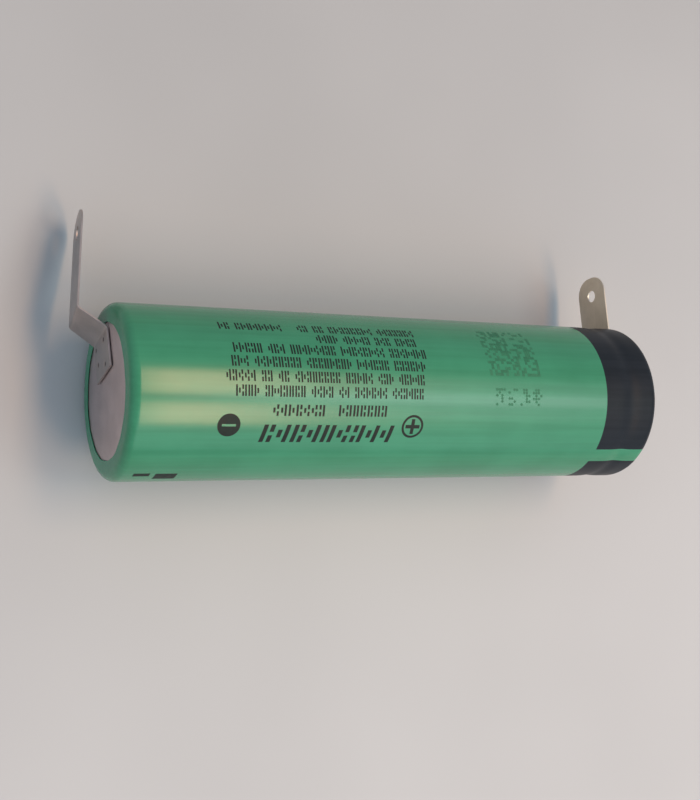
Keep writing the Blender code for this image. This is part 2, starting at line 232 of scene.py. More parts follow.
def rounded(corners):
    """Points (along, radius) through corners (along, radius, rounding)."""
    outline = []
    for index, (x, radius, rounding) in enumerate(corners):
        corner = Vector((x, radius))
        if rounding == 0 or index in (0, len(corners) - 1):
            outline.append(corner)
            continue
        arriving = (corner - Vector(corners[index - 1][:2])).normalized()
        leaving = (Vector(corners[index + 1][:2]) - corner).normalized()
        cutback = rounding * math.tan(arriving.angle(leaving) / 2)
        centre = corner - arriving * cutback
        centre += (leaving - arriving * arriving.dot(leaving)).normalized() * rounding
        first = corner - arriving * cutback - centre
        last = corner + leaving * cutback - centre
        for step in range(ARC_STEPS + 1):
            spoke = first.lerp(last, step / ARC_STEPS)
            outline.append(centre + spoke.normalized() * rounding)
    return outline


print("points on one rounded corner:", len(rounded([(0, 0, 0), (2, 0, 1), (2, 2, 0)])) - 2)

# %% [markdown]
# The lathe turns the rounded outline into rings of points. A Screw modifier could do the same,
# but rings made by hand can also carry ripples and a second colour.

# %% The lathe
def rings(outline, sides, radius_at=None):
    """Points of an outline turned about the axis, ring by ring."""
    points = []
    for x, radius in outline:
        for side in range(sides):
            degrees = 360 * side / sides
            local = radius if radius_at is None else radius_at(x, radius, degrees)
            points.append(around(x, local, degrees))
    return points


def ring_faces(count, sides, closed):
    """Quads between rings. A closed outline also joins its last ring to its first."""
    faces = []
    for ring in range(count if closed else count - 1):
        after = (ring + 1) % count
        for side in range(sides):
            right = (side + 1) % sides
            faces.append((ring * sides + side, ring * sides + right,
                          after * sides + right, after * sides + side))
    if not closed:
        faces.append(tuple(range(sides)))
        faces.append(tuple(range((count - 1) * sides, count * sides)))
    return faces


def lathe(name, corners, finish, stands_for, sides=128, closed=True):
    outline = rounded(corners)
    faces = ring_faces(len(outline), sides, closed)
    return add_piece(name, rings(outline, sides), faces, [finish], stands_for)


print("a tube of 2 rings and 8 sides has", len(ring_faces(2, 8, False)), "faces")

# %% [markdown]
# ## The shrink film
#
# The film is a PVC tube, shrunk by hot air. It is green and a little glossy, with fine lines
# along the cell from the way the tube is drawn, and a faint orange peel. An image would have to
# be painted for that. Noise that is stretched along the cell gives the lines at any distance,
# and a second noise gives the peel.

# %% Film finishes
def film(name, dark, light, gloss, specular=0.5):
    finish = Finish(name)
    drawn = finish.noise(finish.position(along=0.03), per_mm=1.6)
    clouds = finish.noise(finish.position(), per_mm=0.12)
    peel = finish.noise(finish.position(along=0.7), per_mm=2.2, detail=2.0)
    tone = finish.between(drawn * 0.45 + clouds * 0.55, 0.35, 0.65)
    grain = drawn * 0.6 + peel * 0.4
    return finish.shade({
        "Base Color": finish.mix(tone, dark, light),
        "Roughness": gloss + 0.06 * clouds + 0.04 * peel,
        "Normal": finish.bump(grain, depth_mm=0.003),
        "Specular IOR Level": specular,
        "IOR": 1.52,
    })


green_film = film("green_film", (0.026, 0.218, 0.110), (0.035, 0.260, 0.137), 0.195)
black_band = film("black_band", (0.009, 0.014, 0.020), (0.015, 0.021, 0.029), 0.36, 0.13)
print("film finishes:", green_film.name, black_band.name)

# %% [markdown]
# The tube is cut longer than the can, so its ends fold over both rims and leave a round mouth.
# The mouth's edge is never quite round, the fold has faint ripples, and near the positive end
# the film sinks a little into the groove that was rolled into the can. Each ripple below is
# (waves round the mouth, phase, height in millimetres).

# %% How the film leaves the true round
GROOVE_PLACE = 61.0
SINK_WIDTH = 0.9
SINK_DEPTH = 0.12
SINK_FADE = 8
FOLD_SHARE = 0.23
RIPPLES = ((3, 0.6, 0.05), (7, 1.9, 0.035), (17, 0.0, 0.02))


def sunk(x):
    """How far the film sinks over the can's groove."""
    return SINK_DEPTH * math.exp(-((x - GROOVE_PLACE) / SINK_WIDTH) ** 2)


def film_radius(x, radius, degrees):
    """The outline's radius with the sunken groove, and ripples that fade away from the mouths."""
    angle = math.radians(degrees)
    fold = max(0.0, 1.0 - radius / RADIUS) / FOLD_SHARE
    ripple = sum(height * math.sin(waves * angle + phase) for waves, phase, height in RIPPLES)
    return radius + fold * ripple - sunk(x) * (radius / RADIUS) ** SINK_FADE


print(f"the film sinks {sunk(GROOVE_PLACE):.2f} mm into the groove")

# %% [markdown]
# The outline runs along the outside from the negative mouth to the positive one and comes back
# inside. Extra rings along the side put an edge where the black band starts, and lie close
# together over the groove.

# %% The sleeve
FILM_WALL = 0.10
EASE = FILM_WALL / 2
FOLD_ROUND = 1.0
NEGATIVE_MOUTH = 7.1
NEGATIVE_FOLD = 7.7
POSITIVE_MOUTH = 6.5
POSITIVE_FOLD = 7.5
BAND_START = 57.2
COARSE_RINGS = 12
FINE_RINGS = 24
SLEEVE_SIDES = 288

band_length = LENGTH - FOLD_ROUND - BAND_START
stations = [BAND_START * step / COARSE_RINGS for step in range(1, COARSE_RINGS + 1)]
stations += [BAND_START + band_length * step / FINE_RINGS for step in range(1, FINE_RINGS)]
inner = RADIUS - FILM_WALL
inner_end = LENGTH - FILM_WALL
inner_round = FOLD_ROUND - FILM_WALL
sleeve_outline = rounded([
    (EASE, NEGATIVE_MOUTH, 0),
    (0, NEGATIVE_MOUTH + EASE, 0),
    (0, NEGATIVE_FOLD, 0),
    (0, RADIUS, FOLD_ROUND),
    *((x, RADIUS, 0) for x in stations),
    (LENGTH, RADIUS, FOLD_ROUND),
    (LENGTH, POSITIVE_FOLD, 0),
    (LENGTH, POSITIVE_MOUTH + EASE, 0),
    (LENGTH - EASE, POSITIVE_MOUTH, 0),
    (inner_end, POSITIVE_MOUTH + EASE, 0),
    (inner_end, inner, inner_round),
    (GROOVE_PLACE, inner, 0),
    (FILM_WALL, inner, inner_round),
    (FILM_WALL, NEGATIVE_MOUTH + EASE, 0),
])
sleeve_points = rings(sleeve_outline, SLEEVE_SIDES, film_radius)
sleeve_faces = ring_faces(len(sleeve_outline), SLEEVE_SIDES, True)
sleeve = add_piece("shrink_sleeve", sleeve_points, sleeve_faces, [green_film, black_band],
                   ["sleeve"])

# %% [markdown]
# The black band is printed on the same film, and it leaves a narrow green gap where the print
# starts and ends. A mask in the shader would blur that edge, so the band has faces of its own.

# %% Print the black band on its faces
BAND_GAP = (132.5, 145.0)
banded = 0
for face in sleeve.data.polygons:
    centre = (face.center - END) / MM
    degrees = math.degrees(math.atan2(centre.z, centre.y)) % 360
    if centre.x > BAND_START and not BAND_GAP[0] < degrees < BAND_GAP[1]:
        face.material_index = 1
        banded += 1
print("band faces:", banded)

# %% [markdown]
# ## The print
#
# The film carries printed rows in dark ink. Real ones hold a maker's words, which have no place
# on a generic part, so here each row is a pattern of plain strokes with the height, width and
# density of print. The two polarity signs are generic and stay. A texture would be blurred at
# this size, so ink is a separate thin layer. It is drawn flat, cut into narrow strips and bent
# round the film.

# %% Draw ink shapes flat
INK_STEP = 0.2


def flat_ink(shapes):
    """Shapes are lists of loops of (along, arc length) points. A second loop is a hole."""
    bm = bmesh.new()
    for loops in shapes:
        edges = []
        for loop in loops:
            corners = [bm.verts.new((x, arc, 0)) for x, arc in loop]
            pairs = zip(corners, corners[1:] + corners[:1])
            edges += [bm.edges.new(pair) for pair in pairs]
        if len(loops) == 1:
            bm.faces.new(corners)
        else:
            bmesh.ops.triangle_fill(bm, use_beauty=True, edges=edges)
    low = min(vertex.co.y for vertex in bm.verts)
    high = max(vertex.co.y for vertex in bm.verts)
    for step in range(1, int((high - low) / INK_STEP) + 1):
        parts = bm.verts[:] + bm.edges[:] + bm.faces[:]
        cut = Vector((0, low + INK_STEP * step, 0))
        bmesh.ops.bisect_plane(bm, geom=parts, dist=1e-5, plane_co=cut, plane_no=Vector((0, 1, 0)))
    return bm


print(f"ink is cut into strips of {math.degrees(INK_STEP / RADIUS):.2f} degrees")

# %% [markdown]
# A layer of ink is a few micrometres thick. Here its top stands 8 micrometres above the film
# and its root lies inside the film, so that no gap shows at its edge.

# %% Wrap the flat ink onto the film
INK_TOP = 0.008
INK_ROOT = -0.02


def arc_length(degrees):
    return math.radians(degrees) * RADIUS


def wrap_ink(name, shapes, finish):
    bm = flat_ink(shapes)
    raised = bmesh.ops.extrude_face_region(bm, geom=bm.faces[:])["geom"]
    for vertex in raised:
        if isinstance(vertex, bmesh.types.BMVert):
            vertex.co.z = 1.0
    points = []
    for vertex in bm.verts:
        x, arc, top = vertex.co
        height = INK_TOP if top else INK_ROOT
        points.append(around(x, RADIUS - sunk(x) + height, math.degrees(arc / RADIUS)))
    bm.verts.index_update()
    faces = [tuple(vertex.index for vertex in face.verts) for face in bm.faces]
    bm.free()
    return add_piece(name, points, faces, [finish])


print(f"once round the film is {arc_length(360):.1f} mm")

# %% [markdown]
# Print ink is nearly black and matt, a little uneven where the pad pressed less. The coder's ink
# is thin, so the film shows through and it looks like a darker green.

# %% Ink finishes
def ink(name, dark, light):
    finish = Finish(name)
    blotch = finish.between(finish.noise(finish.position(), per_mm=1.5), 0.3, 0.7)
    return finish.shade({
        "Base Color": finish.mix(blotch, dark, light),
        "Roughness": 0.45 + 0.14 * blotch,
        "Specular IOR Level": 0.25,
    })


print_ink = ink("print_ink", (0.005, 0.012, 0.010), (0.010, 0.022, 0.018))
jet_ink = ink("jet_ink", (0.026, 0.150, 0.082), (0.038, 0.195, 0.108))
print("inks:", print_ink.name, jet_ink.name)

# %% [markdown]
# The polarity signs are a full disc with a bar left open for minus, and a ring with a cross for
# plus. Each is drawn as loops of points, with the open parts as inner loops.

# %% Loops for the signs
def circle(x, arc, radius, count=40):
    turns = [2 * math.pi * step / count for step in range(count)]
    return [(x + radius * math.cos(turn), arc + radius * math.sin(turn)) for turn in turns]


def bar(x, arc, width, height, slant=0.0):
    """A four-cornered stroke about its centre, leaning by slant times its height."""
    lean = slant * height / 2
    left, right = x - width / 2, x + width / 2
    low, high = arc - height / 2, arc + height / 2
    return [(left - lean, low), (right - lean, low), (right + lean, high), (left + lean, high)]


def cross(x, arc, reach, half):
    """A plus with arms from the centre to reach and a stroke of twice half."""
    quarter = [(reach, -half), (reach, half), (half, half)]
    outline = []
    for turn in range(4):
        for u, v in quarter:
            for _ in range(turn):
                u, v = -v, u
            outline.append((x + u, arc + v))
    return outline


print("corners of the cross:", len(cross(0, 0, 1, 0.2)))

# %% Polarity signs
SIGN_TURN = 114.3
MINUS_PLACE = 10.2
MINUS_DISC = 1.23
MINUS_BAR = (1.5, 0.26)
PLUS_PLACE = 31.3
PLUS_RING = (1.32, 1.06)
PLUS_CROSS = (0.86, 0.20)

sign_arc = arc_length(SIGN_TURN)
signs = [
    [circle(MINUS_PLACE, sign_arc, MINUS_DISC), bar(MINUS_PLACE, sign_arc, *MINUS_BAR)],
    [circle(PLUS_PLACE, sign_arc, radius) for radius in PLUS_RING],
    [cross(PLUS_PLACE, sign_arc, *PLUS_CROSS)],
]
wrap_ink("polarity_signs", signs, print_ink)

# %% [markdown]
# The rows read from the positive end towards the negative end, with the top of each row further
# round the cell. A row is filled with upright strokes and squares, two to a mark, which give
# the density of small print without spelling anything, and a gap follows every few marks. Each
# stroke below is (left, bottom, right, top) as shares of the mark. The draw is seeded, so the
# print is the same each time.

# %% Fill a row with generic marks
MARKS = (
    ((0.00, 0.0, 0.27, 1.0), (0.46, 0.0, 0.73, 1.0)),
    ((0.00, 0.0, 0.27, 1.0), (0.46, 0.0, 0.73, 0.40), (0.46, 0.60, 0.73, 1.0)),
    ((0.00, 0.0, 0.27, 0.40), (0.00, 0.60, 0.27, 1.0), (0.46, 0.0, 0.73, 1.0)),
    ((0.00, 0.0, 0.27, 0.40), (0.00, 0.60, 0.27, 1.0), (0.46, 0.28, 0.73, 0.72)),
    ((0.00, 0.0, 0.27, 1.0), (0.46, 0.28, 0.73, 0.72)),
    ((0.00, 0.28, 0.27, 0.72), (0.46, 0.0, 0.73, 1.0)),
)
MARK_SHARE = 0.75
GAP_SHARE = 0.8
draw = random.Random(65)


def row_of_marks(start, stop, base, top, advance, slant, grouped):
    """Marks from start down to stop, between two angles, each advance wide."""
    low, high = arc_length(base), arc_length(top)
    shapes = []
    x = start
    left_in_group = draw.randint(3, 8)
    while x - advance * MARK_SHARE > stop:
        for left, bottom, right, upper in draw.choice(MARKS):
            centre = (bottom + upper) / 2
            middle = x - advance * (left + right) / 2 - slant * (high - low) * (centre - 0.5)
            width, height = advance * (right - left), (high - low) * (upper - bottom)
            shapes.append([bar(middle, low + (high - low) * centre, width, height, -slant)])
        x -= advance
        left_in_group -= 1
        if grouped and left_in_group == 0:
            x -= advance * GAP_SHARE
            left_in_group = draw.randint(2, 8)
    return shapes


print("kinds of mark:", len(MARKS))

# %% [markdown]
# There are seven rows of small print, a large slanted heading, and a line of two words below the
# heading. Each row is given by where it starts and stops along the cell, the angles of its base
# and top, how wide a mark is, and its slant.

# %% Rows of generic marks
SMALL = 0.66
PRINT_ROWS = (
    (32.3, 10.4, 88.4, 95.6, SMALL, 0.0),
    (32.5, 9.1, 78.9, 86.1, SMALL, 0.0),
    (32.8, 10.0, 69.4, 76.6, SMALL, 0.0),
    (33.2, 10.4, 59.9, 67.1, SMALL, 0.0),
    (32.4, 19.6, 50.6, 57.6, SMALL, 0.0),
    (32.6, 18.6, 41.3, 48.3, SMALL, 0.0),
    (16.8, 8.9, 41.8, 48.6, SMALL, 0.0),
)
HEADING_ROWS = ((28.9, 13.2, 113.6, 126.0, 1.72, 0.2),)
SUBHEADING_ROWS = (
    (27.9, 22.2, 100.2, 107.6, 0.84, 0.0),
    (20.6, 14.0, 100.4, 107.8, 0.86, 0.0),
)
for name, rows, grouped in (("print_rows", PRINT_ROWS, True),
                            ("print_heading", HEADING_ROWS, False),
                            ("print_subheading", SUBHEADING_ROWS, False)):
    marks = [mark for row in rows for mark in row_of_marks(*row, grouped)]
    wrap_ink(name, marks, print_ink)

# %% [markdown]
# After printing, a coder sprays a square patch of cells and a few dotted marks in thin ink that
# hardly shows on the green. The cells and dots are drawn at random here and encode nothing.

# %% Sprayed patch and dots
PATCH_START = 41.1
PATCH_TURN = 37.5
PATCH_COLUMNS = 19
PATCH_LINES = 18
PATCH_CELL = 0.36
PATCH_INK = 0.92
patch_arc = arc_length(PATCH_TURN)
patch = []
for column in range(PATCH_COLUMNS):
    for line in range(PATCH_LINES):
        if draw.random() < 0.5:
            x = PATCH_START + PATCH_CELL * (column + 0.5)
            arc = patch_arc + PATCH_CELL * (line + 0.5)
            patch.append([bar(x, arc, PATCH_CELL * PATCH_INK, PATCH_CELL * PATCH_INK)])
wrap_ink("sprayed_patch", patch, jet_ink)

DOTS_START = 41.8
DOTS_TURN = 87.5
DOTS_MARK = 1.65
DOTS_COLUMN = 0.34
DOTS_LINE = 0.33
DOT_RADIUS = 0.16
dots = []
for mark in range(4):
    for column in range(4):
        for line in range(6):
            if draw.random() < 0.45:
                x = DOTS_START + DOTS_MARK * mark + DOTS_COLUMN * column
                dots.append([circle(x, arc_length(DOTS_TURN) + DOTS_LINE * line, DOT_RADIUS, 10)])
wrap_ink("sprayed_dots", dots, jet_ink)

# %% [markdown]
# Low on the side away from the tags the print of the back of the film begins. Only its first
# strokes come into view, so two plain bars stand for it.

# %% Side bars
SIDE_BARS = ((2.7, 158.5, 1.7, 0.7), (5.3, 161.5, 2.3, 1.5))
side_bars = [[bar(x, arc_length(turn), width, height)] for x, turn, width, height in SIDE_BARS]
wrap_ink("side_bars", side_bars, print_ink)

# %% [markdown]
# ## Bare metal
#
# The can is steel with dull nickel, drawn and tumbled, so it has a cloudy satin with fine marks
# in all directions. The tags are rolled nickel strip, with fine lines along the strip. Both are
# a metal whose roughness varies, which shows better than a change of colour does. A spot weld
# leaves a dark burn with a dull surface, so a finish can be given the places of its welds.

# %% Metal finishes
WELD_SIZE = 0.34
WELD_COLOUR = (0.05, 0.045, 0.05)


def metal(name, dark, light, rough, stretch, grain_per_mm, depth, welds=()):
    finish = Finish(name)
    clouds = finish.noise(finish.position(), per_mm=0.35)
    lines = finish.noise(finish.position(*stretch), grain_per_mm, 4.0, 0.7)
    spots = finish.between(finish.noise(finish.position(), 1.1, 5.0, 0.7), 0.56, 0.74)
    tone = finish.between(clouds * 0.7 + lines * 0.3, 0.3, 0.7)
    colour = finish.mix(tone, dark, light)
    roughness = rough + 0.10 * lines + 0.08 * clouds + 0.10 * spots
    if welds:
        burn = sum(finish.spot(place, WELD_SIZE) for place in welds)
        colour = finish.mix(burn * 0.8, colour, WELD_COLOUR)
        roughness += 0.15 * burn
    return finish.shade({
        "Base Color": colour,
        "Metallic": 1.0,
        "Roughness": roughness,
        "Normal": finish.bump(lines, depth),
    })


EVEN = (1, 1, 1)
can_steel = metal("can_steel", (0.52, 0.45, 0.45), (0.62, 0.54, 0.54), 0.36, EVEN, 3.0, 0.003)
cap_plate = metal("cap_plate", (0.60, 0.57, 0.53), (0.70, 0.67, 0.62), 0.18, EVEN, 2.0, 0.002)
print("metals:", can_steel.name, cap_plate.name)

# %% [markdown]
# The can's bottom is dished by a few hundredths of a millimetre, enough to make its reflection
# change across the disc. Only the disc shows, inside the film's mouth, but the whole can is
# turned here, with its rolled groove, so that it is right when the sleeve is taken off. The dish
# is given as (height above the bottom, radius).

# %% The can
CAN_RADIUS = RADIUS - 0.15
CAN_WALL = 0.25
CAN_BOTTOM = 0.15
CAN_TOP = 64.4
CAN_ROUND = 0.85
CRIMP_RADIUS = 7.0
DISH = ((0.04, 1.0), (0.03, 4.0), (0.0, 7.4))
GROOVE_DEPTH = 0.9
GROOVE_HALF = 1.2
GROOVE_STEPS = 16


def groove_corners(radius, onward=1):
    """The rolled groove as one period of a cosine, onward (1) or back again (-1)."""
    corners = []
    for step in range(GROOVE_STEPS + 1):
        share = step / GROOVE_STEPS
        depth = GROOVE_DEPTH * (1 - math.cos(2 * math.pi * share)) / 2
        place = GROOVE_PLACE + onward * GROOVE_HALF * (2 * share - 1)
        corners.append((place, radius - depth, 0))
    return corners


can_bore = CAN_RADIUS - CAN_WALL
bore_round = CAN_ROUND - CAN_WALL
can_corners = [
    *((CAN_BOTTOM + height, radius, 0) for height, radius in DISH),
    (CAN_BOTTOM, CAN_RADIUS, CAN_ROUND),
    *groove_corners(CAN_RADIUS),
    (CAN_TOP, CAN_RADIUS, CAN_ROUND),
    (CAN_TOP, CRIMP_RADIUS, 0),
    (CAN_TOP - CAN_WALL, CRIMP_RADIUS, 0),
    (CAN_TOP - CAN_WALL, can_bore, bore_round),
    *groove_corners(can_bore, -1),
    (CAN_BOTTOM + CAN_WALL, can_bore, bore_round),
    (CAN_BOTTOM + CAN_WALL, DISH[0][1], 0),
]
lathe("drawn_can", can_corners, can_steel, ["can"], closed=False)

# %% [markdown]
# ## The solder tags
#
# A tag is a strip cut from nickel sheet, with a round tip and a hole for the wire. It could be a
# flat shape with a Solidify modifier. Here its cross-section is swept along its centre line as a
# fine grid, so that it can bend, and so that the welds can dent it. Its long edges are slightly
# rounded, as a punch leaves them.

# %% The strip's cross-section
TAG_WIDTH = 5.2
TAG_THICKNESS = 0.20
EDGE_ROUND = 0.04
COLUMNS = 40


def section(width):
    """Points (across, outward) round a strip's cross-section, with its edges eased."""
    half, thick = width / 2, TAG_THICKNESS / 2
    flat = half - EDGE_ROUND
    face = [flat * (2 * column / COLUMNS - 1) for column in range(COLUMNS + 1)]
    near = [(across, thick) for across in face]
    far = [(across, -thick) for across in reversed(face)]
    ease = thick - EDGE_ROUND
    return near + [(half, ease), (half, -ease)] + far + [(-half, -ease), (-half, ease)]


print("points round the strip:", len(section(TAG_WIDTH)))

# %% [markdown]
# The centre line is a chain of straight runs. At each corner it takes a smooth bend whose size
# comes from the bend radius. Rows lie close together on it, and at the tip they get narrower
# along a quarter circle on each side.

# %% The strip's centre line
ROW_SPACING = 0.12
TIP_SPACING = 0.3
BEND_STEPS = 8
TIP_ROUND = 2.2
TIP_STEPS = 12


def straight(start, end, spacing=ROW_SPACING):
    count = max(1, round((end - start).length / spacing))
    return [start.lerp(end, step / count) for step in range(1, count + 1)]


def route_through(corners, bend):
    """Evenly spaced points along straight runs and rounded bends."""
    route = [corners[0]]
    for before, corner, after in zip(corners, corners[1:], corners[2:]):
        arriving = (corner - before).normalized()
        leaving = (after - corner).normalized()
        cutback = bend * math.tan(arriving.angle(leaving) / 2)
        start, end = corner - arriving * cutback, corner + leaving * cutback
        route += straight(route[-1], start)
        for step in range(1, BEND_STEPS):
            share = step / BEND_STEPS
            route.append(start.lerp(corner, share).lerp(corner.lerp(end, share), share))
        route.append(end)
    return route


def tip_rows(foot, tip, across):
    """Rows up to a tip with rounded corners."""
    along = (tip - foot).normalized()
    shoulder = tip - along * TIP_ROUND
    rows = [(point, across, TAG_WIDTH) for point in straight(foot, shoulder, TIP_SPACING)]
    for step in range(1, TIP_STEPS + 1):
        angle = math.radians(90 * step / TIP_STEPS)
        point = tip - along * TIP_ROUND * (1 - math.sin(angle))
        rows.append((point, across, TAG_WIDTH - 2 * TIP_ROUND * (1 - math.cos(angle))))
    return rows


print("rows on 1 mm of strip:", len(straight(Vector((0, 0, 0)), Vector((1, 0, 0)))))

# %% [markdown]
# The sweep puts a cross-section on each row, square to the line from the row before to the row
# after. Points on the outer face go down where a weld's electrode pressed.

# %% Sweep a strip
WELD_DEPTH = 0.09


def dent(point, weld):
    """The depth that one weld takes off a point of the strip's outer face."""
    return WELD_DEPTH * math.exp(-((point - weld).length / (0.8 * WELD_SIZE)) ** 2)


def sweep(name, rows, welds, finish, stands_for):
    """Rows are (centre, across direction, width). Each weld is a point that its mark surrounds."""
    points = []
    for index, (centre, across, width) in enumerate(rows):
        ahead = rows[min(index + 1, len(rows) - 1)][0]
        behind = rows[max(index - 1, 0)][0]
        outward = across.cross(ahead - behind).normalized()
        for side, height in section(width):
            point = centre + across * side + outward * height
            if height > 0:
                point -= outward * sum(dent(point, weld) for weld in welds)
            points.append(point)
    faces = ring_faces(len(rows), len(section(TAG_WIDTH)), False)
    return add_piece(name, points, faces, [finish], stands_for)


print(f"a weld dents the strip by {WELD_DEPTH} mm")

# %% [markdown]
# Holes are cut with an exact Boolean, as a punch would. The result is kept as the piece's mesh
# and the cutter goes away, so nothing is left to compute later.

# %% Cut a hole
HOLE_INSET = 2.4
HOLE_RADIUS = 0.75


def carve(piece, name, bm):
    """Cut a shape, given in cell millimetres, out of a piece and keep only the result."""
    bmesh.ops.transform(bm, matrix=Matrix.Translation(END) @ Matrix.Scale(MM, 4), verts=bm.verts)
    mesh = bpy.data.meshes.new(name)
    bm.to_mesh(mesh)
    bm.free()
    cutter = bpy.data.objects.new(name, mesh)
    bpy.context.collection.objects.link(cutter)
    boolean = piece.modifiers.new(name, "BOOLEAN")
    boolean.operation = "DIFFERENCE"
    boolean.solver = "EXACT"
    boolean.object = cutter
    graph = bpy.context.evaluated_depsgraph_get()
    carved = bpy.data.meshes.new_from_object(piece.evaluated_get(graph))
    piece.modifiers.clear()
    piece.data = carved
    carved.set_sharp_from_angle(angle=SMOOTH_ANGLE)
    bpy.data.objects.remove(cutter)
    print(f"{piece.name}: {name} cut, {len(carved.polygons)} faces")


def drill(piece, centre, axis):
    """The round solder hole."""
    bm = bmesh.new()
    turn = Vector((0, 0, 1)).rotation_difference(axis).to_matrix().to_4x4()
    bmesh.ops.create_cone(bm, cap_ends=True, segments=48, radius1=HOLE_RADIUS,
                          radius2=HOLE_RADIUS, depth=1.5, matrix=Matrix.Translation(centre) @ turn)
    carve(piece, "solder_hole", bm)


print(f"solder hole: {2 * HOLE_RADIUS} mm across")

# %% [markdown]
# The negative tag is welded flat to the can, steps away from it and then stands up beside the
# cell. Its tongue leans outward and is turned a little about its own length, so the direction
# across the strip turns along the step. Welds are given as (along the pad, across it).

# %% The negative tag
CLEARANCE = 0.05
BEND_ROUND = 0.5
NEGATIVE_TILT = -17.5
PAD_START = (1.75, -0.25)
PAD_LENGTH = 4.3
STEP_ALONG = 2.1
STEP_OUT = 2.7
TONGUE_LENGTH = 12.4
LEAN = math.radians(7)
TURN = math.radians(4.3)
NEGATIVE_WELDS = ((0.9, 0.8), (3.6, 0.9), (1.8, -1.6), (3.6, -2.0))
STRIP_LINES = (1, 0.06, 1)


def tag_metal(name, dark, light, welds):
    """Nickel strip with lines along it, which run nearly along Y on both tags."""
    return metal(name, dark, light, 0.28, STRIP_LINES, 4.0, 0.002, welds)


outward = Vector((-1, 0, 0))
pad_along = around(0, 1, NEGATIVE_TILT)
negative_across = around(0, 1, NEGATIVE_TILT + 90)
pad_start = Vector((CAN_BOTTOM - CLEARANCE - TAG_THICKNESS / 2, *PAD_START))
pad_end = pad_start + pad_along * PAD_LENGTH
foot = pad_end + pad_along * STEP_ALONG + outward * STEP_OUT
upright = pad_along * math.cos(LEAN) - outward * math.sin(LEAN)
turned_across = Matrix.Rotation(-TURN, 3, upright) @ negative_across
tip = foot + upright * TONGUE_LENGTH
bend_route = route_through([pad_start, pad_end, foot, tip], BEND_ROUND)
negative_rows = []
for point in bend_route:
    share = (point - pad_end).dot(foot - pad_end) / (foot - pad_end).length_squared
    across = negative_across.lerp(turned_across, min(max(share, 0.0), 1.0)).normalized()
    negative_rows.append((point, across, TAG_WIDTH))
negative_rows += tip_rows(bend_route[-1], tip, turned_across)
pad_face = pad_start + outward * TAG_THICKNESS / 2
negative_welds = [pad_face + pad_along * reach + negative_across * side
                  for reach, side in NEGATIVE_WELDS]
negative_finish = tag_metal("negative_tag_strip", (0.43, 0.39, 0.37), (0.53, 0.48, 0.46),
                            negative_welds)
negative_tag = sweep("negative_solder_tag", negative_rows, negative_welds, negative_finish,
                     ["negative_tag"])
drill(negative_tag, tip - upright * HOLE_INSET, upright.cross(turned_across))

# %% [markdown]
# The positive tag is a plain flat strip on the terminal cap. Its nickel is a little warmer and
# brighter than that of the other tag.

# %% The positive tag
CAP_FACE = 65.15
POSITIVE_TILT = -7.0
STRIP_CENTRE = (0.0, -1.5)
STRIP_REACH = 16.5
STRIP_BACK = 3.4
STRIP_MIDDLE = 3.0
strip_along = around(0, 1, POSITIVE_TILT)
strip_across = around(0, 1, POSITIVE_TILT - 90)
strip_centre = Vector((CAP_FACE + CLEARANCE + TAG_THICKNESS / 2, *STRIP_CENTRE))
strip_tip = strip_centre + strip_along * STRIP_REACH
strip_start = strip_centre - strip_along * STRIP_BACK
strip_middle = strip_centre + strip_along * STRIP_MIDDLE
positive_rows = [(point, strip_across, TAG_WIDTH)
                 for point in [strip_start] + straight(strip_start, strip_middle)]
positive_rows += tip_rows(strip_middle, strip_tip, strip_across)
strip_face = strip_centre - outward * TAG_THICKNESS / 2
positive_welds = [strip_face + strip_along * reach + strip_across * side
                  for reach in (-1.6, 1.4) for side in (-0.8, 0.8)]
positive_finish = tag_metal("positive_tag_strip", (0.58, 0.52, 0.42), (0.70, 0.63, 0.52),
                            positive_welds)
positive_tag = sweep("positive_solder_tag", positive_rows, positive_welds, positive_finish,
                     ["positive_tag"])
drill(positive_tag, strip_tip - strip_along * HOLE_INSET, Vector((1, 0, 0)))

# %% [markdown]
# ## The positive end
#
# The terminal cap is a pressed hat of bright nickel-plated steel, with windows in its wall that
# let gas out if the cell fails. It is turned like the can, and the windows are cut out of it.

# %% The terminal cap
SHEET = 0.35
CAP_RIM = 8.12
CAP_CENTRE = 0.5
WINDOW_TURNS = (45, 135, 225, 315)
WINDOW_RADIUS = 4.1
WINDOW_SIZE = (0.6, 2.0, 2.2)
cap_low, cap_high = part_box("top_cap")
cap_top = (cap_high.x - END.x) / MM
flange = (cap_low.x - END.x) / MM
cap_corners = [
    (cap_top - SHEET, CAP_CENTRE, 0),
    (cap_top - SHEET, 3.75, 0.25),
    (flange + 0.9, 3.92, 0),
    (flange, 4.35, 0.3),
    (flange, CAP_RIM, 0),
    (flange + SHEET, CAP_RIM, 0),
    (flange + SHEET, 4.32, 0.3),
    (cap_top, 4.12, 0.35),
    (cap_top, CAP_CENTRE, 0),
]
cap = lathe("terminal_cap", cap_corners, cap_plate, ["top_cap"], 160, False)
windows = bmesh.new()
for degrees in WINDOW_TURNS:
    place = Matrix.Translation(((flange + SHEET + cap_top) / 2, 0, 0))
    place = place @ Matrix.Rotation(math.radians(degrees), 4, "X")
    place = place @ Matrix.Translation((0, WINDOW_RADIUS, 0))
    size = Matrix.Diagonal((*WINDOW_SIZE, 1.0))
    bmesh.ops.create_cube(windows, size=1.0, matrix=place @ size)
carve(cap, "gas_windows", windows)

# %% [markdown]
# Around the cap lies a paper ring that keeps the cap and the can apart, half under the film. Its
# fibres are a fine noise in colour and height, and a wider one stains it.

# %% The paper ring
RING_BORE = 5.2
RING_RADIUS = 8.2
RING_EASE = 0.06


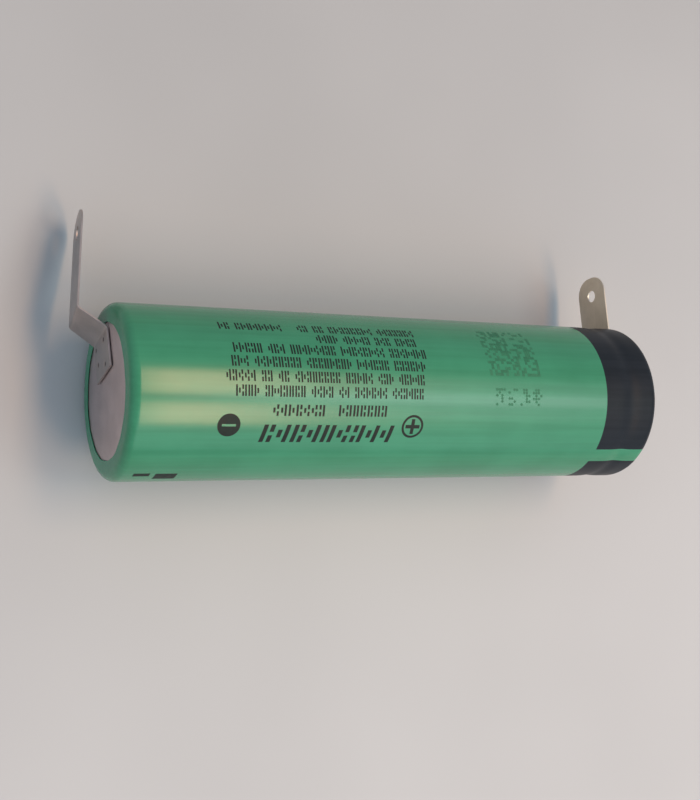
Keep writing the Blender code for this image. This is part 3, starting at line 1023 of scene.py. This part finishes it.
def paper(name, dark, light):
    finish = Finish(name)
    fibres = finish.noise(finish.position(), 6.0, 5.0, 0.7)
    stain = finish.noise(finish.position(), per_mm=0.5)
    tone = finish.between(fibres * 0.6 + stain * 0.4, 0.3, 0.7)
    return finish.shade({
        "Base Color": finish.mix(tone, dark, light),
        "Roughness": 0.75 + 0.15 * fibres,
        "Normal": finish.bump(fibres, depth_mm=0.01),
    })


ring_paper = paper("ring_paper_fibres", (0.62, 0.60, 0.55), (0.78, 0.77, 0.73))
ring_low, ring_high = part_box("insulator_ring")
ring_start = (ring_low.x - END.x) / MM
ring_end = (ring_high.x - END.x) / MM
ring_corners = [
    (ring_start, RING_BORE, 0),
    (ring_start, RING_RADIUS, 0),
    (ring_end, RING_RADIUS, 0),
    (ring_end, RING_BORE + RING_EASE, 0),
    (ring_end - RING_EASE, RING_BORE, 0),
]
lathe("fibre_ring", ring_corners, ring_paper, ["insulator_ring"])

# %% [markdown]
# ## Inside the cell
#
# The pieces inside keep their shapes from the frame, and each gets the finish of its real
# material: graphite and oxide coatings are matt and speckled, separator film is a smooth white,
# polyimide tape a clear amber, and sheet metal has lines from rolling. Each entry below is a
# material slot with the finish's name, its dark and light tone, and its roughness.

# %% Coatings, polymers and paper board inside
def moulded(name, dark, light, rough, per_mm=2.0):
    finish = Finish(name)
    speckle = finish.noise(finish.position(), per_mm, 4.0, 0.65)
    tone = finish.between(speckle, 0.35, 0.65)
    return finish.shade({
        "Base Color": finish.mix(tone, dark, light),
        "Roughness": rough + 0.15 * speckle,
        "Normal": finish.bump(speckle, depth_mm=0.004),
    })


MOULDED = {
    "gasket_plastic": ("gasket_polymer", (0.05, 0.05, 0.055), (0.09, 0.09, 0.10), 0.40),
    "ptc_polymer": ("ptc_composite", (0.03, 0.03, 0.03), (0.07, 0.07, 0.07), 0.50, 5.0),
    "cid_plastic": ("clear_polymer", (0.74, 0.74, 0.70), (0.84, 0.84, 0.80), 0.35),
    "anode_coating": (
        "graphite_coating", (0.020, 0.020, 0.024), (0.045, 0.045, 0.05), 0.50, 8.0),
    "cathode_coating": (
        "oxide_coating", (0.035, 0.035, 0.036), (0.07, 0.068, 0.065), 0.62, 8.0),
    "separator_film": ("separator_sheet", (0.80, 0.80, 0.78), (0.90, 0.90, 0.88), 0.30, 1.0),
    "polyimide_tape": ("polyimide_amber", (0.60, 0.25, 0.03), (0.74, 0.36, 0.06), 0.18, 1.0),
}
inner_finishes = {slot: moulded(*values) for slot, values in MOULDED.items()}
inner_finishes["fibre_board"] = paper("fibre_board_grain", (0.52, 0.49, 0.40), (0.66, 0.64, 0.56))
print("finishes inside:", sorted(inner_finishes))

# %% Sheet metal inside
AXIAL_LINES = (0.1, 1, 1)
SHEETS = {
    "disc_aluminium": ("disc_sheet", (0.72, 0.72, 0.74), (0.80, 0.80, 0.81), 0.28, (1, 1, 0.1)),
    "lead_aluminium": ("lead_sheet", (0.72, 0.72, 0.74), (0.80, 0.80, 0.81), 0.24, AXIAL_LINES),
    "lead_nickel": ("lead_strip", (0.50, 0.47, 0.43), (0.60, 0.57, 0.52), 0.26, AXIAL_LINES),
    "pin_steel": ("pin_sheet", (0.48, 0.47, 0.46), (0.56, 0.55, 0.54), 0.30, AXIAL_LINES),
}
for slot, values in SHEETS.items():
    inner_finishes[slot] = metal(*values, 4.0, 0.002)
for entry in frame["record"]["subparts"]:
    finish = inner_finishes.get(entry["material_slot"])
    node = frame["nodes"][entry["node"]]
    if finish and not node.hide_render:
        node.data.materials.clear()
        node.data.materials.append(finish)
        print(entry["node"], "gets", finish.name)

# %% [markdown]
# ## Floor, light and camera
#
# The cell lies on a plain pale table. Its colour carries painted light and shade: it is painted
# darker towards the side where the tags point and lighter towards the window lamp, standing in for
# the fall-off of the lamps' light. The table lies a hundredth of a millimetre lower than the cell,
# so that no two faces coincide.

# %% Floor
TABLE_SIZE = 6.0
TABLE_DROP = 0.01
# The two table colours are the ends of a painted fall-off of light, with a faint random mottle
# between them.
TABLE_PAINTED_SHADE = (0.37, 0.405, 0.425)
TABLE_PAINTED_LIGHT = (0.515, 0.56, 0.585)
PAINTED_LIGHT_TOWARDS = (0.3, -0.95, 0.0)
PAINTED_FALLOFF_REACH = 60.0


def table_with_painted_falloff():
    finish = Finish("pale_table_painted_falloff")
    place = finish.position()
    mottle = finish.between(finish.noise(place, 0.02, 2.0), 0.3, 0.7)
    # Painted light and shade: the tone grows along one direction across the table, darker on the
    # tags' side, as the lamps' light falls off; a fifth of it is random mottle.
    values = {0: place, 1: PAINTED_LIGHT_TOWARDS}
    reach = finish.node("ShaderNodeVectorMath", {"operation": "DOT_PRODUCT"}, values, "Value")
    tone = finish.between(reach, -PAINTED_FALLOFF_REACH, PAINTED_FALLOFF_REACH) * 0.8 + mottle * 0.2
    return finish.shade({"Base Color": finish.mix(tone, TABLE_PAINTED_SHADE, TABLE_PAINTED_LIGHT), "Roughness": 0.75})


bpy.ops.mesh.primitive_plane_add(size=TABLE_SIZE, location=(0, 0, -TABLE_DROP * MM))
floor = bpy.context.object
floor.name = "table_top"
floor.data.materials.append(table_with_painted_falloff())
print("floor at z =", floor.location.z)

# %% [markdown]
# Two warm lamps overhead draw the pair of bright streaks on the near part of the film and cast
# the bluish shadow to the left. A ceiling light with a wide glow draws the softer streak further
# along, and a window brightens the side near the viewer. A long lamp gives a streak only when it
# lies along the cell, so each is turned by its own three directions. Each lamp below is its
# name, the direction to it, distance, length along the cell and breadth in metres, power in
# watts and colour.

# %% Lights
WARM = (1.0, 0.58, 0.33)
COOL = (0.88, 1.0, 0.98)
DAYLIGHT = (0.85, 0.97, 1.0)
LAMPS = (
    ("overhead_far", (0.295, 0.17, 0.94), 1.2, 0.20, 0.62, 4.7, WARM),
    ("overhead_near", (0.295, -0.47, 0.832), 1.2, 0.20, 0.56, 4.0, WARM),
    ("ceiling", (0.53, -0.09, 0.85), 1.4, 0.45, 0.32, 1.35, COOL),
    ("ceiling_glow", (0.53, -0.09, 0.85), 1.5, 0.60, 1.30, 2.9, COOL),
    ("window", (0.25, -0.75, 0.61), 0.84, 0.90, 0.84, 1.75, DAYLIGHT),
)
for name, towards, distance, length, breadth, power, colour in LAMPS:
    data = bpy.data.lights.new(name, "AREA")
    data.shape = "RECTANGLE"
    data.size = length
    data.size_y = breadth
    data.energy = power
    data.color = colour
    light = bpy.data.objects.new(name, data)
    bpy.context.collection.objects.link(light)
    direction = Vector(towards).normalized()
    side = direction.cross(Vector((1, 0, 0))).normalized()
    light.location = direction * distance
    light.rotation_mode = "QUATERNION"
    turn = Matrix((side.cross(direction), side, direction)).transposed()
    light.rotation_quaternion = turn.to_quaternion()
    print(f"{name}: {power} W at {distance} m")

# %% [markdown]
# The room itself is a pale bluish grey all round. It fills the shadows, and the metal reflects
# it. The Standard view transform keeps the colours as the finishes give them.

# %% Room
ROOM_COLOUR = (0.78, 0.82, 0.93, 1)
ROOM_STRENGTH = 0.60
world = bpy.data.worlds.new("room")
world.use_nodes = True
room = world.node_tree.nodes["Background"]
room.inputs["Color"].default_value = ROOM_COLOUR
room.inputs["Strength"].default_value = ROOM_STRENGTH
bpy.context.scene.world = world
bpy.context.scene.view_settings.view_transform = "Standard"
print("room strength:", ROOM_STRENGTH)

# %% [markdown]
# The camera hangs over the negative end and looks down along the cell, so the near end is larger
# and the can's bottom just shows. Its place is given in millimetres from the middle of the
# negative end. Its three directions, to the right, up and back, make its turn.

# %% Camera
CAMERA_PLACE = (-33.7, -10.2, 121.1)
CAMERA_FORWARD = (0.45334, 0.07224, -0.88841)
CAMERA_UP = (-0.01706, 0.99723, 0.07238)
CAMERA_LENS = 54.36
camera = bpy.data.objects.new("camera", bpy.data.cameras.new("camera"))
bpy.context.collection.objects.link(camera)
back = -Vector(CAMERA_FORWARD).normalized()
right = Vector(CAMERA_UP).cross(back).normalized()
up = back.cross(right)
camera.rotation_mode = "QUATERNION"
camera.rotation_quaternion = Matrix((right, up, back)).transposed().to_quaternion()
camera.location = END + Vector(CAMERA_PLACE) * MM
camera.data.lens = CAMERA_LENS
camera.data.clip_start = 0.005
bpy.context.scene.camera = camera
print("camera at", [round(value, 4) for value in camera.location])
